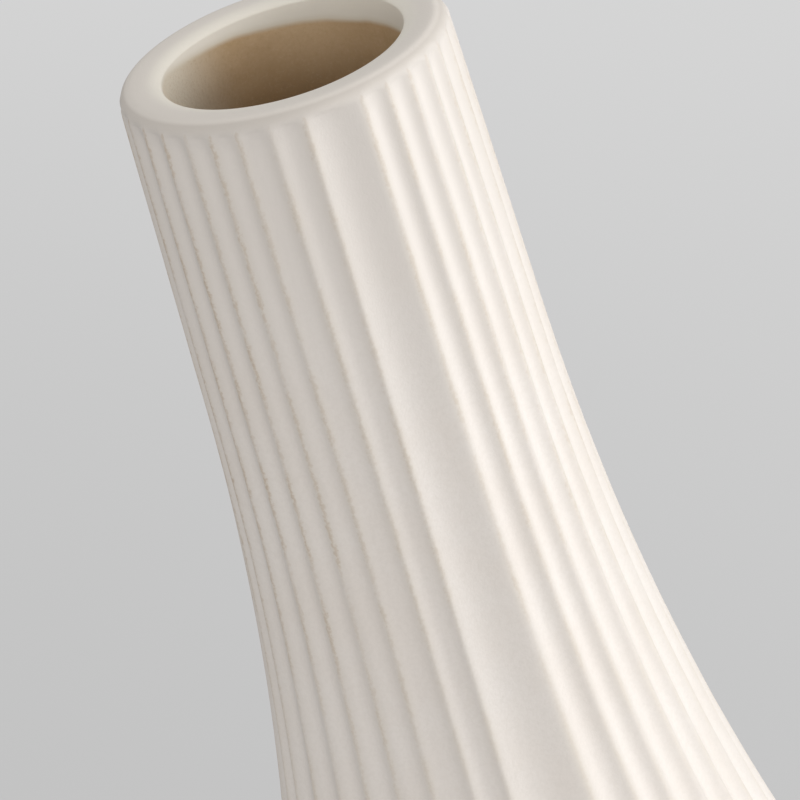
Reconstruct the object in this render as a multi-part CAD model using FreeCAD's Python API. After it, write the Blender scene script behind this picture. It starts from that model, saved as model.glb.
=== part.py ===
# Fluted ceramic vase with a narrow neck that flares down to a wide base, in millimetres.
# Z is the axis of the vase and zero is the table. The front, with a wide flute, faces -Y.

import FreeCAD, Part
import math
import os

from FreeCAD import Vector

# Overall form
overall_height = 240.0  # table to lip
mouth_diameter = 50.4  # over the ridges, in the plane of the lip
base_diameter = 139.0  # over the ridges, level with the centre of the heel's round
neck_length = 53.0  # straight neck, above the flare
neck_taper = math.radians(2.2)  # lean of the neck's wall from the axis

# Shell
wall = 6.8
floor_thickness = 7.0
inner_corner_radius = 14.0  # inside, where the wall meets the floor

# Lip
lip_outer_radius = 2.6
lip_inner_radius = 2.2

# Fluting. Depths are those at the mouth, and they grow with the girth further down.
flute_steps = 36  # equal steps round the wall: one for a narrow flute, two for a wide one
flute_depth = 0.75
wide_flute_depth = 1.0
flats_per_step = 3  # narrow flats that make up the hollow of a flute
wall_section_count = 8  # outlines that the fluted wall is lofted through
round_band_count = 4  # straight bands that the lip's and the heel's round are built up in

# Foot
heel_radius = 8.0
foot_ring_width = 10.0
foot_recess = 2.5  # hollow under the floor, inside the foot ring

# Self-adhesive pads under the foot ring
pad_count = 4
pad_diameter = 8.0
pad_thickness = 1.6
pad_bevel = 0.5

# The hollow inside is turned in short straight bands
flare_band_count = 4
corner_band_count = 2

overrun = 2.0  # how far a cutting shape reaches past what it cuts

mouth_radius = mouth_diameter / 2
foot_z = pad_thickness
heel_z = foot_z + heel_radius
floor_z = foot_z + foot_recess + floor_thickness
neck_z = overall_height - neck_length
axis = Vector(0, 0, 1)
outward = Vector(math.cos(neck_taper), 0, math.sin(neck_taper))  # square to the neck's wall


def at(radius, z):
    """Point of an outline that is turned about the axis."""
    return Vector(radius, 0, z)


def polar(radius, angle, z):
    """Point at an angle from the front, anticlockwise seen from above."""
    return Vector(radius * math.sin(angle), -radius * math.cos(angle), z)


def neck_radius(z, offset=0):
    """Radius of the neck's straight wall at a height, moved outwards by an offset."""
    return mouth_radius + (overall_height - z) * math.tan(neck_taper) + offset / math.cos(neck_taper)


def flare_arc():
    """Centre and radius of the arc that takes the neck's wall on down to the heel."""
    start = at(neck_radius(neck_z), neck_z)
    reach = at(base_diameter / 2, heel_z) - start
    radius = reach.dot(reach) / (2 * reach.dot(outward))
    return start + outward * radius, radius


flare_centre, flare_radius = flare_arc()


def ridge_radius(z):
    """Radius of the ridges at any height: the straight neck, then the flare."""
    if z > neck_z:
        return neck_radius(z)
    return flare_centre.x - math.sqrt(flare_radius ** 2 - (z - flare_centre.z) ** 2)


def round_inside_flare(z, offset, radius):
    """Round whose centre is at a height and that touches the offset flare from inside.

    Returns the centre and the point of touch.
    """
    reach = flare_radius - offset + radius
    centre = at(flare_centre.x - math.sqrt(reach ** 2 - (flare_centre.z - z) ** 2), z)
    direction = flare_centre - centre
    direction.normalize()
    return centre, centre + direction * radius


heel_centre, heel_top = round_inside_flare(heel_z, 0, heel_radius)
lip_centre = at(neck_radius(overall_height - lip_outer_radius, -lip_outer_radius),
                overall_height - lip_outer_radius)


def arc_points(centre, start, end, count):
    """Ends of the equal steps that an arc of under half a turn is cut into."""
    reach = start - centre
    turn = reach.getAngle(end - centre)
    across = (end - centre) - reach * math.cos(turn)
    across = across * (1 / math.sin(turn))
    return [centre + reach * math.cos(turn * number / count) + across * math.sin(turn * number / count)
            for number in range(count + 1)]


def chain(*points):
    """Straight edges through points."""
    return [Part.makeLine(first, second) for first, second in zip(points, points[1:])]


def turned(edges):
    """Solid of an outline turned once about the axis."""
    return Part.Face(Part.Wire(edges)).revolve(Vector(0, 0, 0), axis, 360)


def flutes():
    """First and last ridge of each flute, as angles, with its depth at the mouth.

    There is no ridge on the line of the front or of the back, so the flutes there are wide.
    """
    step = 2 * math.pi / flute_steps
    ridges = [number for number in range(flute_steps) if number % (flute_steps // 2)]
    for first, last in zip(ridges, ridges[1:] + [ridges[0] + flute_steps]):
        narrow = last - first == 1
        yield first * step, last * step, flute_depth if narrow else wide_flute_depth


def fluted_section(radius, z, fade=1):
    """Closed outline of the wall at one height, with each flute as a hollow row of flats.

    A fade of 1 gives the flutes their full depth, and 0 gives none.
    """
    points = []
    for first, last, depth in flutes():
        flats = flats_per_step * round((last - first) * flute_steps / (2 * math.pi))
        for number in range(flats):
            across = 2 * number / flats - 1
            hollow = depth * fade * radius / mouth_radius * (1 - across ** 2)
            angle = first + (last - first) * number / flats
            points.append(polar(radius - hollow, angle, z))
    return Part.makePolygon(points + points[:1])


def fluted_wall():
    """Flutes at their full depth, from the heel's round up to the lip's."""
    low = heel_top.z
    spacing = ((lip_centre + outward * lip_outer_radius).z - low) / (wall_section_count - 1)
    heights = [low + number * spacing for number in range(wall_section_count)]
    return Part.makeLoft([fluted_section(ridge_radius(z), z) for z in heights], True, False)


def fluted_round(centre, start, end):
    """Rounded end of the wall, over which the flutes run out."""
    sections = []
    for number, point in enumerate(arc_points(centre, start, end, round_band_count)):
        fade = math.cos(math.pi / 2 * number / round_band_count) ** 4
        sections.append(fluted_section(point.x, point.z, fade))
    return Part.makeLoft(sections, True, True)


def outer_form():
    """Solid vase with its fluted wall, rounded lip and rounded heel."""
    lip = fluted_round(lip_centre, lip_centre + outward * lip_outer_radius,
                       lip_centre + axis * lip_outer_radius)
    heel = fluted_round(heel_centre, heel_top, heel_centre - axis * heel_radius)
    return fluted_wall().multiFuse([lip, heel])


def hollow():
    """Inside of the vase, parallel to the ridges, open at the rounded mouth."""
    corner_z = floor_z + inner_corner_radius
    corner_centre, corner_top = round_inside_flare(corner_z, -wall, inner_corner_radius)
    flare_top = at(neck_radius(neck_z), neck_z) - outward * wall
    lip_z = overall_height - lip_inner_radius
    mouth_centre = at(neck_radius(lip_z, lip_inner_radius - wall), lip_z)
    mouth_low = mouth_centre - outward * lip_inner_radius
    mouth_top = mouth_centre + axis * lip_inner_radius
    mouth_middle = arc_points(mouth_centre, mouth_low, mouth_top, 2)[1]
    outline = [at(0, floor_z)]
    outline += arc_points(corner_centre, corner_centre - axis * inner_corner_radius, corner_top,
                          corner_band_count)
    outline += arc_points(flare_centre, corner_top, flare_top, flare_band_count)[1:]
    edges = chain(*outline, mouth_low)
    edges += [Part.Arc(mouth_low, mouth_middle, mouth_top).toShape()]
    edges += chain(mouth_top, mouth_top + axis * overrun, at(0, overall_height + overrun),
                   at(0, floor_z))
    return turned(edges)


def foot_hollow():
    """Shallow recess inside the foot ring, with a sloping side."""
    ring_inner = heel_centre.x - foot_ring_width
    return turned(chain(at(0, foot_z - overrun), at(ring_inner + overrun, foot_z - overrun),
                        at(ring_inner - foot_recess, foot_z + foot_recess),
                        at(0, foot_z + foot_recess), at(0, foot_z - overrun)))


def vase_body():
    """The one fired piece: fluted wall, lip, hollow, floor and foot ring."""
    return outer_form().cut(hollow()).cut(foot_hollow())


def foot_pad(angle):
    """Round pad stuck to the middle of the foot ring, with a bevelled lower edge."""
    radius = pad_diameter / 2
    pad = turned(chain(at(0, 0), at(radius - pad_bevel, 0), at(radius, pad_bevel),
                       at(radius, pad_thickness), at(0, pad_thickness), at(0, 0)))
    pad.translate(polar(heel_centre.x - foot_ring_width / 2, angle, 0))
    return pad


def save(shape, name):
    shape.exportStep("parts/" + name + ".step")


os.makedirs("parts", exist_ok=True)
save(vase_body(), "vase_body")
for number in range(pad_count):
    save(foot_pad((number + 0.5) * 2 * math.pi / pad_count), "foot_pad_%d" % (number + 1))
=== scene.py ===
from math import atan2, cos, hypot, pi, radians, sin, sqrt, tan
from random import Random

import bmesh
import bpy
from mathutils import Matrix, Vector, noise


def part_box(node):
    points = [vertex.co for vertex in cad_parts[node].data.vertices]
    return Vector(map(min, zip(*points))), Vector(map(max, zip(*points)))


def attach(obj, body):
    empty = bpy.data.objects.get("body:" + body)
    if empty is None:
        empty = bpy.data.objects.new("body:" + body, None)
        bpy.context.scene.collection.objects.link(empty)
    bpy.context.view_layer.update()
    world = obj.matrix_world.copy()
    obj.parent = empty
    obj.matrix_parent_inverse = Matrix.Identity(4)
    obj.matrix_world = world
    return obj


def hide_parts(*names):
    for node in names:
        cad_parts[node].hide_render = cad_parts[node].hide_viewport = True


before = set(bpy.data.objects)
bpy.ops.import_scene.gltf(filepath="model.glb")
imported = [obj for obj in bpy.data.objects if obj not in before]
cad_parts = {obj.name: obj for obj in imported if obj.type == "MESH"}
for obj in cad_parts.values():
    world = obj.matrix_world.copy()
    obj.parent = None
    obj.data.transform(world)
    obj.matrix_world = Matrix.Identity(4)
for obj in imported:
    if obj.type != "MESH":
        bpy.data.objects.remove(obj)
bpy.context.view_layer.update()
scene = bpy.context.scene
scene.view_settings.view_transform = "Standard"

# metres throughout; the vase stands on z = 0 with its axis on Z, and its front, a wide flute, faces -Y
mm = 0.001
bodyLow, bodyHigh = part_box("vase_body")
lipZ = bodyHigh.z
footZ = bodyLow.z


# the camera, from the mouth's place and tilt in the photograph
camera = {
    "frameSize": 800,           # pixels, as are the next two
    "mouthPixel": (280, 45.4),  # the middle of the mouth
    "focalPixels": 3500,
    "distance": 516.5 * mm,     # to the middle of the mouth
    "elevation": radians(21.17),
    "roll": radians(-16.99),
    "turn": radians(10.5),      # how far it stands round to the left of the wide flute
    "sensorWidth": 36,
    "clipStart": 10 * mm,
}


def placeCamera():
    half = camera["frameSize"] / 2
    focal = camera["focalPixels"]
    mouth = Vector((0, 0, lipZ))
    level = camera["distance"] * cos(camera["elevation"])
    spot = mouth + Vector((-sin(camera["turn"]) * level, -cos(camera["turn"]) * level,
                           camera["distance"] * sin(camera["elevation"])))
    ahead = (mouth - spot).normalized()
    right = ahead.cross(Vector((0, 0, 1))).normalized()
    up = right.cross(ahead)
    facing = Matrix((right, up, -ahead)).transposed()
    pixelX, pixelY = camera["mouthPixel"]
    towards = Vector(((pixelX - half) / focal, (half - pixelY) / focal, -1)).normalized()
    offAxis = Vector((0, 0, -1)).rotation_difference(towards).to_matrix()
    turned = facing @ Matrix.Rotation(camera["roll"], 3, "Z") @ offAxis.transposed()
    data = bpy.data.cameras.new("photoCamera")
    data.sensor_width = camera["sensorWidth"]
    data.lens = camera["sensorWidth"] * focal / camera["frameSize"]
    data.clip_start = camera["clipStart"]
    rig = bpy.data.objects.new("photoCamera", data)
    scene.collection.objects.link(rig)
    rig.matrix_world = Matrix.Translation(spot) @ turned.to_4x4()
    scene.camera = rig
    print("camera placed")


placeCamera()


# the fired shell
vase = {
    "mouthRadius": 25.2 * mm,     # over the ridges, in the plane of the lip
    "baseRadius": 69.4 * mm,      # over the ridges, level with the heel's centre, just inside the solid
    "neckLength": 53 * mm,
    "neckTaper": radians(2.2),
    "wall": 6.8 * mm,
    "floorThickness": 7 * mm,
    "lipOuterRadius": 2.3 * mm,
    "lipInnerRadius": 0.7 * mm,   # how far the mouth's round reaches down
    "lipInnerReach": 2 * mm,      # and outwards
    "lipSlope": radians(2.5),     # the lip's top falls inwards
    "lipCrown": 0.3 * mm,         # how much the edges of the lip's top drop
    "heelRadius": 8 * mm,
    "cornerRadius": 14 * mm,      # inside, where the wall meets the floor
    "footRingWidth": 10 * mm,
    "footRecess": 2.5 * mm,
    "footEase": 0.6 * mm,         # rounding of the foot ring's inner edge
    "recessSlope": radians(45),   # the foot ring's inner side
    "columnsPerPitch": 16,        # mesh columns to a narrow flute
    "wallRows": 74,               # mesh rows up the outside, from the heel's round to the lip's
    "roundRows": 12,              # over either of these rounds
    "lipTopCuts": 4,
    "mouthRows": 10,
    "neckCuts": 8,                # down the inside of the neck
    "flareRows": 26,              # and of the flare
    "cornerRows": 6,
    "floorCuts": 4,               # across the floor, above and below
    "ringCuts": 2,
    "easeRows": 3,
    "slopeCuts": 1,
    "mergeGap": 0.001 * mm,
    "wobble": 0.09 * mm,          # unevenness of the hand-finished surface
    "wobbleLength": 26 * mm,
    "wobblePlace": (3.1, 7.7, 1.3),
    "ripple": 0.4,                # share of a finer unevenness on top
    "rippleScale": 3.3,
    "stillGap": 0.1 * mm,         # the foot's flat and the middle of the floor keep their places
}

flute = {
    "pitches": 36,                # equal pitches round the wall: one to a narrow flute, two to a wide one
    "depth": 0.75 * mm,           # at the mouth; grows with the girth
    "wideDepth": 1 * mm,
    "wideSkew": 0.12,             # how far the bottom of a wide flute lies to the left
    "crestWidth": 0.62 * mm,      # softness of a ridge at the mouth
    "lipGap": 0.6 * mm,           # depth below the lip where the flutes begin
    "lipFade": 2.6 * mm,          # and the length over which they come to their full depth
    "heelFade": 11 * mm,
    "wallShare": 0.45,            # outer share of the lip's width that belongs to the outside
    "leastFacing": 0.05,          # a side that faces out less than this isn't fluted
    "ridgeBand": 0.8 * mm,        # width either side of a ridge where the glaze is thinnest
    "haloBand": 1.3 * mm,         # width either side of a ridge where it is a little warmer
    "evenAngle": radians(10.5),   # the ridges beside the wide flutes stand straight
    "leanAngle": radians(9.5),    # and over this angle the others come to lean
    "backFade": 2,                # times that angle at the back
    "leftShiftTop": radians(-2.1),
    "leftShiftLow": radians(0.5),
    "rightShiftTop": radians(-0.4),
    "rightShiftLow": radians(1.4),
    "shiftLength": 112 * mm,      # depth below the lip that the low shifts are given at
    "shiftLimit": 1.3,            # they grow down to this many times that depth
    "sideShift": radians(-4),     # further lean of the ridges round the left side
    "sideLowShare": 0.5,          # and how much of it is left lower down
    "sideAngle": radians(45),
    "frontSpread": radians(0.6),  # the front flute widens a little to the left lower down
    "jitter": radians(0.91),
    "seed": 23830,
    "sliver": 1e-6,               # keeps a column on a ridge with the flute that starts there
}

pitch = 2 * pi / flute["pitches"]


def neckRadius(z, offset=0):
    return vase["mouthRadius"] + (lipZ - z) * tan(vase["neckTaper"]) + offset / cos(vase["neckTaper"])


def arcOn(bm, vert, centre, angle, steps):
    # goes on from the last point of the outline with an arc
    made = bmesh.ops.spin(bm, geom=[vert], cent=centre, axis=(0, 1, 0), dvec=(0, 0, 0), angle=angle,
                          steps=steps, use_duplicate=False)
    return next(each for each in made["geom_last"] if isinstance(each, bmesh.types.BMVert))


def pointAt(bm, place):
    return min(bm.verts, key=lambda each: (each.co - Vector(place)).length)


def lineOn(bm, vert, point, cuts=0):
    # goes on with a straight run
    made = bmesh.ops.extrude_vert_indiv(bm, verts=[vert])
    made["verts"][0].co = point
    if cuts:
        bmesh.ops.subdivide_edges(bm, edges=made["edges"], cuts=cuts)
    return pointAt(bm, point)


def turnBetween(centre, start, end):
    # signed angle about +Y that takes start to end round a centre
    first, second = start - centre, end - centre
    return atan2(first.z * second.x - first.x * second.z, first.dot(second))


def spunShell():
    out = Vector((cos(vase["neckTaper"]), 0, sin(vase["neckTaper"])))  # square to the neck
    rise = Vector((0, 0, 1))
    heelZ = footZ + vase["heelRadius"]
    recessZ = footZ + vase["footRecess"]
    floorZ = recessZ + vase["floorThickness"]
    neckZ = lipZ - vase["neckLength"]
    neckFoot = Vector((neckRadius(neckZ), 0, neckZ))
    reach = Vector((vase["baseRadius"], 0, heelZ)) - neckFoot
    flareRadius = reach.length_squared / (2 * reach.dot(out))
    flareCentre = neckFoot + out * flareRadius

    def roundInside(z, offset, radius):
        # round that touches the flare, moved outwards by an offset, from the axis side
        span = flareRadius - offset + radius
        centre = Vector((flareCentre.x - sqrt(span ** 2 - (flareCentre.z - z) ** 2), 0, z))
        return centre, centre + (flareCentre - centre).normalized() * radius

    heelCentre, heelTop = roundInside(heelZ, 0, vase["heelRadius"])
    cornerCentre, cornerTop = roundInside(floorZ + vase["cornerRadius"], -vase["wall"],
                                          vase["cornerRadius"])
    outerZ = lipZ - vase["lipOuterRadius"]
    outerCentre = Vector((neckRadius(outerZ, -vase["lipOuterRadius"]), 0, outerZ))
    innerRadius = vase["lipInnerRadius"]
    innerZ = lipZ - innerRadius
    innerCentre = Vector((neckRadius(innerZ, innerRadius - vase["wall"]), 0, innerZ))
    mouthCentre = innerCentre + Vector((vase["lipInnerReach"] - innerRadius, 0, 0))
    ringInner = heelCentre.x - vase["footRingWidth"]

    bm = bmesh.new()
    footEdge = heelCentre - rise * vase["heelRadius"]
    # up the outside and over the lip
    vert = arcOn(bm, bm.verts.new(footEdge), heelCentre,
                 turnBetween(heelCentre, footEdge, heelTop), vase["roundRows"])
    outerRows = round(vase["wallRows"] * (neckZ - heelZ) / (lipZ - heelZ))
    vert = arcOn(bm, vert, flareCentre, turnBetween(flareCentre, heelTop, neckFoot), outerRows)
    vert = lineOn(bm, vert, outerCentre + out * vase["lipOuterRadius"], vase["wallRows"] - outerRows)
    vert = arcOn(bm, vert, outerCentre, turnBetween(outerCentre, vert.co, outerCentre + rise),
                 vase["roundRows"])
    vert = lineOn(bm, vert, mouthCentre + rise * innerRadius, vase["lipTopCuts"])
    # the mouth's round is spun as a circle's arc and then drawn out to the side
    before = set(bm.verts)
    vert = arcOn(bm, vert, mouthCentre, turnBetween(mouthCentre, vert.co, mouthCentre - out),
                 vase["mouthRows"])
    bmesh.ops.scale(bm, verts=[each for each in bm.verts if each not in before],
                    vec=(vase["lipInnerReach"] / innerRadius, 1, 1),
                    space=Matrix.Translation(-mouthCentre))
    # down the inside to the middle of the floor
    vert = lineOn(bm, vert, neckFoot - out * vase["wall"], vase["neckCuts"])
    vert = arcOn(bm, vert, flareCentre, turnBetween(flareCentre, vert.co, cornerTop),
                 vase["flareRows"])
    vert = arcOn(bm, vert, cornerCentre, turnBetween(cornerCentre, cornerTop, cornerCentre - rise),
                 vase["cornerRows"])
    lineOn(bm, vert, (0, 0, floorZ), vase["floorCuts"])
    # under the foot ring, up its sloping inner side and across the recess
    vert = lineOn(bm, pointAt(bm, footEdge), (ringInner + vase["footEase"], 0, footZ), vase["ringCuts"])
    vert = arcOn(bm, vert, vert.co + rise * vase["footEase"], vase["recessSlope"], vase["easeRows"])
    slopeEnd = vert.co.x - (recessZ - vert.co.z) / tan(vase["recessSlope"])
    vert = lineOn(bm, vert, (slopeEnd, 0, recessZ), vase["slopeCuts"])
    lineOn(bm, vert, (0, 0, recessZ), vase["floorCuts"])

    columns = flute["pitches"] * vase["columnsPerPitch"]
    bmesh.ops.spin(bm, geom=bm.verts[:] + bm.edges[:], cent=(0, 0, 0), axis=(0, 0, 1), dvec=(0, 0, 0),
                   angle=2 * pi, steps=columns, use_merge=True, use_duplicate=False)
    bmesh.ops.remove_doubles(bm, verts=bm.verts[:], dist=vase["mergeGap"])
    bmesh.ops.recalc_face_normals(bm, faces=bm.faces[:])
    print("shell spun,", len(bm.faces), "faces")
    return bm


def smoothStep(share):
    share = min(max(share, 0), 1)
    return share * share * (3 - 2 * share)


def between(low, high, share):
    return low + (high - low) * share


def isWide(width):
    # a narrow flute is one pitch wide, and a wide one two
    return width > 1.5 * pitch


def ridgeLines():
    # even angles from the front, each with the maker's small errors at the lip and lower down;
    # no ridge stands on the front or the back line, and those beside the wide flutes there run true
    chance = Random(flute["seed"])
    half = flute["pitches"] // 2
    lines = []
    for number in range(1, flute["pitches"]):
        if number == half:
            continue
        spread = 0 if number % half in (1, half - 1) else flute["jitter"]
        high = chance.uniform(-1, 1) * spread
        low = chance.uniform(-1, 1) * spread
        if number == flute["pitches"] - 1:
            low -= flute["frontSpread"]
        lines.append((number * pitch, high, low))
    angle, high, low = lines[-1]
    return [(angle - 2 * pi, high, low)] + lines


ridges = ridgeLines()
fluteOfPitch = {}             # the two ridges that each pitch lies between
for first, second in zip(ridges, ridges[1:]):
    for number in range(round(first[0] / pitch), round(second[0] / pitch)):
        fluteOfPitch[number % flute["pitches"]] = first, second


def handLean(angle, down):
    # the ridges on either side of the front lean a little as they come down
    signed = angle - 2 * pi if angle > pi else angle
    side = "left" if signed < 0 else "right"
    fromBack = pi - abs(signed)
    strength = smoothStep((abs(signed) - flute["evenAngle"]) / flute["leanAngle"])
    strength *= smoothStep((fromBack - flute["evenAngle"]) / flute["leanAngle"] / flute["backFade"])
    lean = between(flute[side + "ShiftTop"], flute[side + "ShiftLow"], down)
    if side == "left":
        share = smoothStep((abs(signed) - flute["sideAngle"]) / flute["sideAngle"])
        lean += flute["sideShift"] * share * between(1, flute["sideLowShare"], down)
    return strength * lean


def placeOnFlute(angle, down):
    # where an even column lands once the ridges beside it have moved, and how it lies between them
    first, second = fluteOfPitch[int(angle / pitch + flute["sliver"]) % flute["pitches"]]
    if angle > second[0] + flute["sliver"]:
        angle -= 2 * pi
    share = (angle - first[0]) / (second[0] - first[0])
    ends = [line + between(high, low, down) + handLean(line % (2 * pi), down)
            for line, high, low in (first, second)]
    return between(*ends, share), 2 * share - 1, second[0] - first[0]


def hollowShare(across, width):
    # share of a flute's depth across its width, with its ridges softened by the glaze
    soft = flute["crestWidth"] / (vase["mouthRadius"] * width / 2)
    if isWide(width):
        across += flute["wideSkew"] * (1 - across ** 2)
    reach = 1 - abs(across)
    eased = (sqrt(reach ** 2 + soft ** 2) - soft) / (sqrt(1 + soft ** 2) - soft)
    return 1 - (1 - eased) ** 2


def fluteStrength(z):
    # full on the wall, running out softly under the lip and over the heel
    down = (lipZ - z - flute["lipGap"]) / flute["lipFade"]
    return smoothStep(down) * smoothStep((z - footZ) / flute["heelFade"])


def innerGlaze(z, radius, lipEdge):
    # off the fluted outside: the recess is glazed and the foot ring wiped bare, and the lip's
    # tone gives way to the mouth's
    if footZ + vase["footEase"] < z < footZ + vase["footRecess"] + vase["footEase"]:
        return 1
    if z > lipZ - vase["wall"]:
        edge = vase["mouthRadius"] - vase["wall"]
        return smoothStep((radius - edge) / (lipEdge - edge))
    return 0


def carveFlutes(bm):
    # the wall's columns follow the ridges, and the hollows go in square to the surface
    bm.normal_update()
    ridgeLayer = bm.verts.layers.float.new("ridge")
    sideLayer = bm.verts.layers.float.new("ridgeSide")
    haloLayer = bm.verts.layers.float.new("halo")
    outsideLayer = bm.verts.layers.float.new("outside")
    poolLayer = bm.verts.layers.float.new("pool")
    lipEdge = vase["mouthRadius"] - vase["wall"] * flute["wallShare"]
    moves = []
    for vert in bm.verts:
        radius = hypot(vert.co.x, vert.co.y)
        outward = vert.normal.x * vert.co.x + vert.normal.y * vert.co.y
        turnedIn = outward < flute["leastFacing"] * radius and vert.co.z < lipZ - vase["lipCrown"]
        if radius < lipEdge or turnedIn or vert.co.z <= footZ:
            vert[outsideLayer] = innerGlaze(vert.co.z, radius, lipEdge)
            continue
        angle = atan2(vert.co.x, -vert.co.y) % (2 * pi)
        down = (lipZ - vert.co.z) / flute["shiftLength"]
        placed, across, width = placeOnFlute(angle, min(down, flute["shiftLimit"]))
        strength = fluteStrength(vert.co.z)
        share = strength * hollowShare(across, width)
        depth = flute["wideDepth"] if isWide(width) else flute["depth"]
        sunk = depth * share * radius / vase["mouthRadius"]
        turned = Matrix.Rotation(placed - angle, 3, "Z")
        moves.append((vert, turned @ (vert.co - vert.normal * sunk)))
        reach = (1 - abs(across)) * width / 2 * radius
        vert[ridgeLayer] = strength * max(0, 1 - reach / flute["ridgeBand"])
        vert[sideLayer] = min(1, reach / flute["ridgeBand"]) * (1 if across < 0 else -1)
        vert[haloLayer] = strength * smoothStep(1 - reach / flute["haloBand"])
        vert[poolLayer] = 0 if isWide(width) else share
        vert[outsideLayer] = 1
    for vert, spot in moves:
        vert.co = spot
    print("flutes carved,", len(moves), "points moved")


def roughen(bm):
    # the slight unevenness of a cast and sponged surface, and the crown and slope of the lip
    bm.normal_update()
    middle = vase["mouthRadius"] - vase["wall"] / 2
    slopeStart = vase["mouthRadius"] - vase["lipOuterRadius"]
    for vert in bm.verts:
        radius = hypot(vert.co.x, vert.co.y)
        if vert.co.z <= footZ + vase["stillGap"] or radius < vase["stillGap"]:
            continue
        place = vert.co / vase["wobbleLength"]
        swell = noise.noise(place + Vector(vase["wobblePlace"]))
        swell += vase["ripple"] * noise.noise(place * vase["rippleScale"])
        vert.co -= vert.normal * vase["wobble"] * (1 + swell) / 2
        if vert.co.z > lipZ - vase["lipOuterRadius"]:
            vert.co.z -= vase["lipCrown"] * ((radius - middle) / (vase["wall"] / 2)) ** 2
            vert.co.z -= tan(vase["lipSlope"]) * max(0, slopeStart - radius)
    print("surface roughened")


def makeVase():
    bm = spunShell()
    carveFlutes(bm)
    roughen(bm)
    mesh = bpy.data.meshes.new("vaseBody")
    bm.to_mesh(mesh)
    bm.free()
    mesh.polygons.foreach_set("use_smooth", [True] * len(mesh.polygons))
    body = bpy.data.objects.new("vaseBody", mesh)
    scene.collection.objects.link(body)
    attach(body, "root")
    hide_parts("vase_body")
    return body


def newMaterial(name):
    material = bpy.data.materials.new(name)
    material.use_nodes = True
    material.node_tree.nodes.clear()
    return material, material.node_tree


def feed(tree, socket, value):
    # links a socket, or sets its value
    if isinstance(value, bpy.types.NodeSocket):
        tree.links.new(value, socket)
    else:
        socket.default_value = value


def addNode(tree, kind, **values):
    # a node with its sockets and settings given by name
    node = tree.nodes.new(kind)
    for name, value in values.items():
        if name in node.inputs:
            feed(tree, node.inputs[name], value)
        else:
            setattr(node, name, value)
    return node


def addLayer(tree, name):
    return addNode(tree, "ShaderNodeAttribute", attribute_name=name).outputs["Fac"]


def addNoise(tree, place, scale, detail, roughness):
    node = addNode(tree, "ShaderNodeTexNoise", Vector=place, Scale=scale, Detail=detail,
                   Roughness=roughness)
    return node.outputs["Fac"]


def addMath(tree, operation, *values, clamp=False):
    node = addNode(tree, "ShaderNodeMath", operation=operation, use_clamp=clamp)
    for socket, value in zip(node.inputs, values):
        feed(tree, socket, value)
    return node.outputs[0]


def addProduct(tree, value, *others):
    for other in others:
        value = addMath(tree, "MULTIPLY", value, other)
    return value


def addSwing(tree, place, settings, amount):
    # noise that swings either side of zero
    centred = addMath(tree, "SUBTRACT", addNoise(tree, place, *settings), 0.5)
    return addProduct(tree, centred, amount)


def addRange(tree, value, start, end, first=0, last=1):
    # goes softly from the first number to the last while the value goes from start to end
    limits = {"From Min": start, "From Max": end, "To Min": first, "To Max": last}
    node = addNode(tree, "ShaderNodeMapRange", interpolation_type="SMOOTHSTEP", Value=value, **limits)
    return node.outputs["Result"]


def addMix(tree, share, first, second):
    # the colours have sockets 6, 7 and 2, since those before them have the same names
    node = addNode(tree, "ShaderNodeMix", data_type="RGBA")
    for number, value in ((0, share), (6, first), (7, second)):
        feed(tree, node.inputs[number], value)
    return node.outputs[2]


def addBump(tree, height, depth, strength=1, **below):
    node = addNode(tree, "ShaderNodeBump", Height=height, Distance=depth, Strength=strength, **below)
    return node.outputs["Normal"]


def addShaderMix(tree, share, first, second):
    node = addNode(tree, "ShaderNodeMixShader")
    for socket, value in zip(node.inputs, (share, first, second)):
        feed(tree, socket, value)
    return node.outputs[0]


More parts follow.
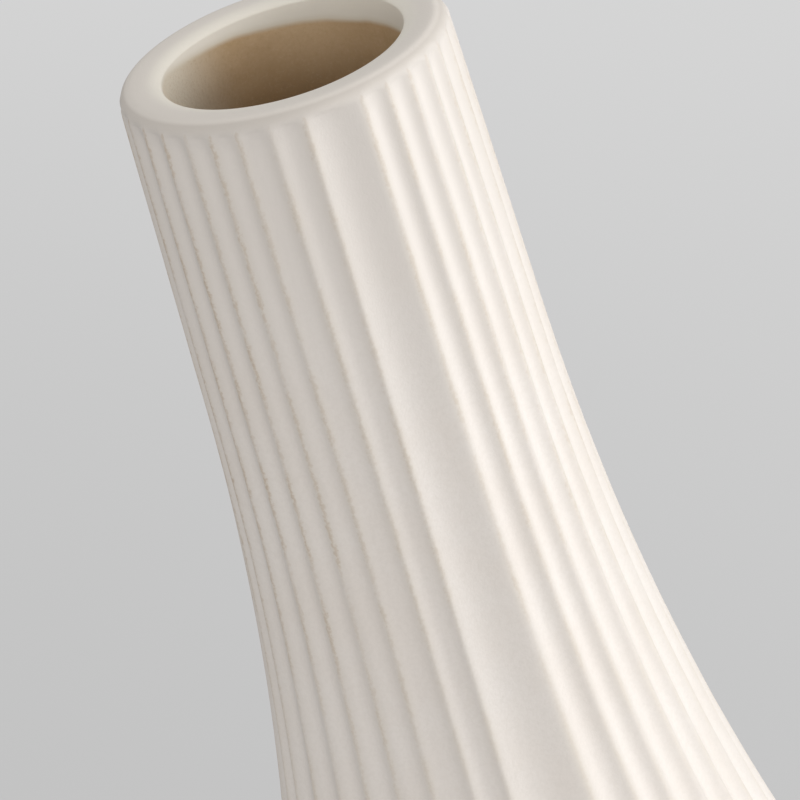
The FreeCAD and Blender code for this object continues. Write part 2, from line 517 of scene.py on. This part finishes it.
# finishes; each noise has its scale, detail and roughness, and each range its two ends
glaze = {
    "colour": (0.80, 0.748, 0.70, 1),
    "roughness": 0.62,
    "warmColour": (0.785, 0.725, 0.67, 1),  # in soft patches
    "mottle": (60, 4, 0.6),
    "mottleRange": (0.35, 0.7),
    "speckColour": (0.72, 0.665, 0.61, 1),
    "speck": (1500, 3, 0.6),
    "speckRange": (0.4, 0.65),
    "speckShare": 0.3,
    "neckShadeColour": (0.752, 0.70, 0.65, 1),   # painted shade: darker up the neck towards the lip
    "neckShadeDepth": 5 * mm,
    "neckShadeEnd": 65 * mm,

    "patch": (110, 3, 0.5),                # places where the ridges' tones are stronger
    "patchRange": (0.3, 0.65),
    "patchLeast": 0.25,
    "haloColour": (0.775, 0.71, 0.63, 1),  # close to the ridges
    "haloAmount": 0.75,
    "poolTone": 1.045,                     # thicker and whiter in the narrow hollows
    "plainTone": 0.965,

    "lipColour": (0.815, 0.757, 0.69, 1),
    "lipFrom": 0.65 * mm,                  # depth below the lip where the lip's own tone starts
    "lipTo": 0.2 * mm,
    "rimShadeColour": (0.66, 0.605, 0.545, 1),  # painted shade: darker round the outer edge of the lip
    "rimShadeShare": 0.85,
    "rimShadeDepth": 2.6 * mm,

    "thinColour": (0.54, 0.43, 0.32, 1),   # clay that shows through along the ridges
    "thinAmount": 0.7,
    "thinFrom": 0.25,                      # where it starts to show towards a ridge
    "thinFull": 1.1,
    "leftShadeX": -24 * mm,                     # painted shade: the ridge lines are darker round the left side
    "leftShadeEndX": -10 * mm,
    "leftShadeLeast": 0.4,
    "lowStart": 65 * mm,                   # and the worn lines get fainter lower down
    "lowEnd": 115 * mm,
    "lowShare": 0.35,
    "lineEnd": 0.3,                        # they end softly with the ridges
    "waver": (900, 3, 0.6),
    "waverAmount": 1.8,
    "grit": (1500, 4, 0.7),
    "gritAmount": 3,

    # painted light: the glaze inside the mouth is lighter than outside, for light on the far inner band
    # and the inner edge
    "insideLightColour": (0.89, 0.84, 0.745, 1),
    "bandZ": lipZ - 3.9 * mm,              # lower edge of the glaze inside the mouth
    "bandFade": 1.1 * mm,
    "bandSlope": 0.1,                      # it hangs lower on the right
    "bandEdge": (120, 2, 0.5),
    "bandWaver": 1.1 * mm,
    "edgeColour": (0.66, 0.56, 0.40, 1),   # and thinner, so tawnier, at that edge
    "edgeFade": 1.9 * mm,
    "edgeAmount": 0.65,
    "washAndLightColour": (0.81, 0.75, 0.63, 1),   # a pale wash down the left of the inside, partly painted light from the right on that wall
    "washAndLightX": -16.5 * mm,
    "washAndLightEndX": -3 * mm,
    "washAndLightAmount": 0.9,
    "washAndLightDepth": 60 * mm,

    "grain": (2600, 2, 0.5),
    "grainDepth": 0.02 * mm,
    "uneven": (330, 2, 0.5),               # soft bumps a few millimetres apart
    "unevenDepth": 0.05 * mm,
}

clay = {
    "colour": (0.66, 0.475, 0.285, 1),
    "darkColour": (0.50, 0.33, 0.17, 1),
    "roughness": 0.9,
    "blotch": (45, 5, 0.65),
    "blotchRange": (0.3, 0.7),
    "deepShadeColour": (0.36, 0.225, 0.11, 1),  # painted shade: darker further down
    "deepShadeStart": 6 * mm,
    "deepShadeEnd": 20 * mm,
    "dot": (1900, 3, 0.7),
    "darkDotRange": (0.5, 0.72),
    "darkDotShare": 0.3,
    "paleDotColour": (0.74, 0.58, 0.39, 1),
    "paleDotRange": (0.28, 0.48),
    "paleDotShare": 0.2,
    "grain": (1900, 4, 0.6),
    "grainDepth": 0.06 * mm,
    "grainUnderGlaze": 0.15,
}


def glazeColour(tree, place, height, patches):
    mottled = addRange(tree, addNoise(tree, place, *glaze["mottle"]), *glaze["mottleRange"])
    colour = addMix(tree, mottled, glaze["colour"], glaze["warmColour"])
    speck = addNoise(tree, place, *glaze["speck"])
    speck = addRange(tree, speck, *glaze["speckRange"], 0, glaze["speckShare"])
    colour = addMix(tree, speck, colour, glaze["speckColour"])
    # painted shade: the glaze darkens up the neck towards the lip
    neckShade = addRange(tree, height, lipZ - glaze["neckShadeEnd"], lipZ - glaze["neckShadeDepth"])
    colour = addMix(tree, neckShade, colour, glaze["neckShadeColour"])
    halo = addProduct(tree, addLayer(tree, "halo"), patches, glaze["haloAmount"])
    colour = addMix(tree, halo, colour, glaze["haloColour"])
    tone = addRange(tree, addLayer(tree, "pool"), 0, 1, glaze["plainTone"], glaze["poolTone"])
    return addNode(tree, "ShaderNodeVectorMath", operation="SCALE", Vector=colour, Scale=tone).outputs[0]


def lipTones(tree, height, colour):
    # painted shade on the lip's outer round
    rimShade = addRange(tree, height, lipZ - glaze["rimShadeDepth"], lipZ - glaze["lipFrom"], 0,
                   glaze["rimShadeShare"])
    colour = addMix(tree, rimShade, colour, glaze["rimShadeColour"])
    lip = addRange(tree, height, lipZ - glaze["lipFrom"], lipZ - glaze["lipTo"])
    return addMix(tree, lip, colour, glaze["lipColour"])


def wornShare(tree, place, across, height, patches):
    # a broken line along each ridge, which wanders from side to side
    waver = addSwing(tree, place, glaze["waver"], glaze["waverAmount"])
    aside = addMath(tree, "ABSOLUTE", addMath(tree, "ADD", addLayer(tree, "ridgeSide"), waver))
    line = addMath(tree, "SUBTRACT", 1, aside, clamp=True)
    line = addProduct(tree, line, addRange(tree, addLayer(tree, "ridge"), 0, glaze["lineEnd"]))
    grit = addMath(tree, "ADD", addSwing(tree, place, glaze["grit"], glaze["gritAmount"]), 1)
    worn = addRange(tree, addProduct(tree, line, grit), glaze["thinFrom"], glaze["thinFull"])
    # painted shade: the ridge lines are darker round the left side
    side = addRange(tree, across, glaze["leftShadeX"], glaze["leftShadeEndX"], 1, glaze["leftShadeLeast"])
    lower = addRange(tree, height, lipZ - glaze["lowEnd"], lipZ - glaze["lowStart"],
                     glaze["lowShare"], 1)
    return addProduct(tree, worn, lower, patches, side, glaze["thinAmount"])


def clayColour(tree, place, across, height):
    # bare and speckled, with painted shade darker in the depth, and a pale wash down its left side that
    # is partly painted light
    blotch = addRange(tree, addNoise(tree, place, *clay["blotch"]), *clay["blotchRange"])
    colour = addMix(tree, blotch, clay["colour"], clay["darkColour"])
    # painted shade: darker further down the neck
    deepShade = addRange(tree, height, lipZ - clay["deepShadeEnd"], lipZ - clay["deepShadeStart"], 1, 0)
    recessZ = footZ + vase["footRecess"]
    above = addRange(tree, height, recessZ, recessZ + vase["floorThickness"])
    colour = addMix(tree, addProduct(tree, deepShade, above), colour, clay["deepShadeColour"])
    # a pale wash down the left of the inside, partly painted light
    washAndLight = addRange(tree, across, glaze["washAndLightX"], glaze["washAndLightEndX"], glaze["washAndLightAmount"], 0)
    upper = addRange(tree, height, lipZ - glaze["washAndLightDepth"], lipZ)
    colour = addMix(tree, addProduct(tree, washAndLight, upper), colour, glaze["washAndLightColour"])
    dot = addNoise(tree, place, *clay["dot"])
    dark = addRange(tree, dot, *clay["darkDotRange"], 0, clay["darkDotShare"])
    colour = addMix(tree, dark, colour, clay["darkColour"])
    pale = addRange(tree, dot, *clay["paleDotRange"], clay["paleDotShare"], 0)
    return addMix(tree, pale, colour, clay["paleDotColour"])


def stonewareFinish():
    material, tree = newMaterial("glazedStoneware")
    place = addNode(tree, "ShaderNodeTexCoord").outputs["Object"]
    split = addNode(tree, "ShaderNodeSeparateXYZ", Vector=place)
    across, height = split.outputs["X"], split.outputs["Z"]
    outside = addLayer(tree, "outside")
    inside = addRange(tree, outside, 0, 1, 1, 0)
    patches = addNoise(tree, place, *glaze["patch"])
    patches = addRange(tree, patches, *glaze["patchRange"], glaze["patchLeast"], 1)

    colour = lipTones(tree, height, glazeColour(tree, place, height, patches))
    # painted light: the inside of the mouth takes the lighter colour
    colour = addMix(tree, inside, colour, glaze["insideLightColour"])
    worn = wornShare(tree, place, across, height, patches)
    colour = addMix(tree, worn, colour, glaze["thinColour"])

    # the glaze ends in a wavy edge inside the mouth, and below that the clay is bare
    waver = addProduct(tree, addNoise(tree, place, *glaze["bandEdge"]), glaze["bandWaver"])
    hang = addMath(tree, "ADD", height, waver)
    hang = addMath(tree, "ADD", hang, addProduct(tree, across, glaze["bandSlope"]))
    band = addRange(tree, hang, glaze["bandZ"], glaze["bandZ"] + glaze["bandFade"])
    glazed = addMath(tree, "MAXIMUM", band, outside)
    edge = addRange(tree, hang, glaze["bandZ"], glaze["bandZ"] + glaze["edgeFade"],
                    glaze["edgeAmount"], 0)
    colour = addMix(tree, addProduct(tree, edge, inside), colour, glaze["edgeColour"])
    colour = addMix(tree, glazed, clayColour(tree, place, across, height), colour)

    roughness = addRange(tree, glazed, 0, 1, clay["roughness"], glaze["roughness"])
    normal = addBump(tree, addNoise(tree, place, *glaze["uneven"]), glaze["unevenDepth"])
    normal = addBump(tree, addNoise(tree, place, *glaze["grain"]), glaze["grainDepth"], Normal=normal)
    strength = addRange(tree, glazed, 0, 1, 1, clay["grainUnderGlaze"])
    normal = addBump(tree, addNoise(tree, place, *clay["grain"]), clay["grainDepth"], strength,
                     Normal=normal)
    shader = addNode(tree, "ShaderNodeBsdfPrincipled", Roughness=roughness, Normal=normal,
                     **{"Base Color": colour})
    addNode(tree, "ShaderNodeOutputMaterial", Surface=shader.outputs[0])
    return material


silicone = {
    "colour": (0.62, 0.62, 0.60, 1),
    "paleColour": (0.72, 0.72, 0.70, 1),
    "cloud": (400, 3, 0.5),
    "cloudRange": (0.3, 0.7),
    "roughness": 0.45,
    "frost": (3000, 2, 0.5),
    "frostDepth": 0.02 * mm,
    "frostStrength": 0.6,
}


def siliconeFinish():
    material, tree = newMaterial("padSilicone")
    place = addNode(tree, "ShaderNodeTexCoord").outputs["Object"]
    cloud = addRange(tree, addNoise(tree, place, *silicone["cloud"]), *silicone["cloudRange"])
    colour = addMix(tree, cloud, silicone["colour"], silicone["paleColour"])
    frost = addBump(tree, addNoise(tree, place, *silicone["frost"]), silicone["frostDepth"],
                    silicone["frostStrength"])
    shader = addNode(tree, "ShaderNodeBsdfPrincipled", Roughness=silicone["roughness"], Normal=frost,
                     **{"Base Color": colour})
    addNode(tree, "ShaderNodeOutputMaterial", Surface=shader.outputs[0])
    return material


body = makeVase()
body.data.materials.append(stonewareFinish())
padFinish = siliconeFinish()
for name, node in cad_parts.items():
    if name.startswith("foot_pad"):
        for slot in node.material_slots:
            slot.material = padFinish
print("finishes on")


# floor and light
studio = {
    "floorSize": 6,
    "floorDrop": 0.05 * mm,       # so that it doesn't coincide with the pads' undersides
    "floorColour": (0.56, 0.56, 0.56, 1),
    "floorShade": (0.5488, 0.5488, 0.5488, 1),
    "floorCloud": (3, 2, 0.5),
    "cloudRange": (0.3, 0.7),
    "floorRoughness": 0.9,
    "seenNear": (0.56, 0.56, 0.56, 1),  # what the camera sees of the floor, close to and far off
    "seenFar": (0.735, 0.735, 0.735, 1),
    "seenShare": 0.82,
    "nearY": -0.1,
    "farY": 1.1,
    "seenSlope": 1.7,             # the far right is as light as the far side
    "worldSeen": (0.62, 0.62, 0.62, 1),
    "worldColour": (1, 1, 1, 1),
    "worldStrength": 0.6,
    "aimHeight": 108 * mm,
}

lamps = {
    "keyLamp": {
        "azimuth": radians(79),   # round to the camera's right
        "elevation": radians(12),
        "distance": 0.72,
        "size": 0.4,
        "power": 3.15,
        "colour": (0.99, 1, 1.005),
    },
    "frontLamp": {
        "azimuth": radians(-5),
        "elevation": radians(20),
        "distance": 0.95,
        "size": 0.5,
        "power": 1.7,
        "colour": (1, 0.99, 0.975),
    },
}


def floorFinish():
    material, tree = newMaterial("paperFloor")
    place = addNode(tree, "ShaderNodeTexCoord").outputs["Object"]
    tone = addRange(tree, addNoise(tree, place, *studio["floorCloud"]), *studio["cloudRange"])
    colour = addMix(tree, tone, studio["floorColour"], studio["floorShade"])
    shader = addNode(tree, "ShaderNodeBsdfPrincipled", Roughness=studio["floorRoughness"],
                     **{"Base Color": colour})
    split = addNode(tree, "ShaderNodeSeparateXYZ", Vector=place)
    slope = addProduct(tree, split.outputs["X"], studio["seenSlope"])
    away = addRange(tree, addMath(tree, "ADD", split.outputs["Y"], slope), studio["nearY"],
                    studio["farY"])
    seenColour = addMix(tree, away, studio["seenNear"], studio["seenFar"])
    seen = addNode(tree, "ShaderNodeEmission", Color=seenColour, Strength=1)
    path = addNode(tree, "ShaderNodeLightPath")
    share = addProduct(tree, path.outputs["Is Camera Ray"], studio["seenShare"])
    surface = addShaderMix(tree, share, shader.outputs[0], seen.outputs[0])
    addNode(tree, "ShaderNodeOutputMaterial", Surface=surface)
    return material


def makeFloor():
    bm = bmesh.new()
    bmesh.ops.create_grid(bm, x_segments=1, y_segments=1, size=studio["floorSize"],
                          matrix=Matrix.Translation((0, 0, -studio["floorDrop"])))
    mesh = bpy.data.meshes.new("studioFloor")
    bm.to_mesh(mesh)
    bm.free()
    mesh.materials.append(floorFinish())
    floor = bpy.data.objects.new("studioFloor", mesh)
    scene.collection.objects.link(floor)


def makeWorld():
    world = bpy.data.worlds.new("studioWorld")
    scene.world = world
    world.use_nodes = True
    tree = world.node_tree
    tree.nodes.clear()
    lit = addNode(tree, "ShaderNodeBackground", Color=studio["worldColour"],
                  Strength=studio["worldStrength"])
    seen = addNode(tree, "ShaderNodeBackground", Color=studio["worldSeen"], Strength=1)
    path = addNode(tree, "ShaderNodeLightPath")
    surface = addShaderMix(tree, path.outputs["Is Camera Ray"], lit.outputs[0], seen.outputs[0])
    addNode(tree, "ShaderNodeOutputWorld", Surface=surface)


def addLamp(name, azimuth, elevation, distance, size, power, colour):
    # azimuth runs round from the camera to its right
    angle = azimuth - camera["turn"]
    aim = Vector((0, 0, studio["aimHeight"]))
    level = distance * cos(elevation)
    spot = aim + Vector((sin(angle) * level, -cos(angle) * level, distance * sin(elevation)))
    data = bpy.data.lights.new(name, "AREA")
    data.size = size
    data.energy = power
    data.color = colour
    lamp = bpy.data.objects.new(name, data)
    scene.collection.objects.link(lamp)
    lamp.location = spot
    lamp.rotation_euler = (aim - spot).to_track_quat("-Z", "Y").to_euler()
    lamp.visible_camera = False


makeFloor()
makeWorld()
for name, values in lamps.items():
    addLamp(name, **values)
print("studio lit")
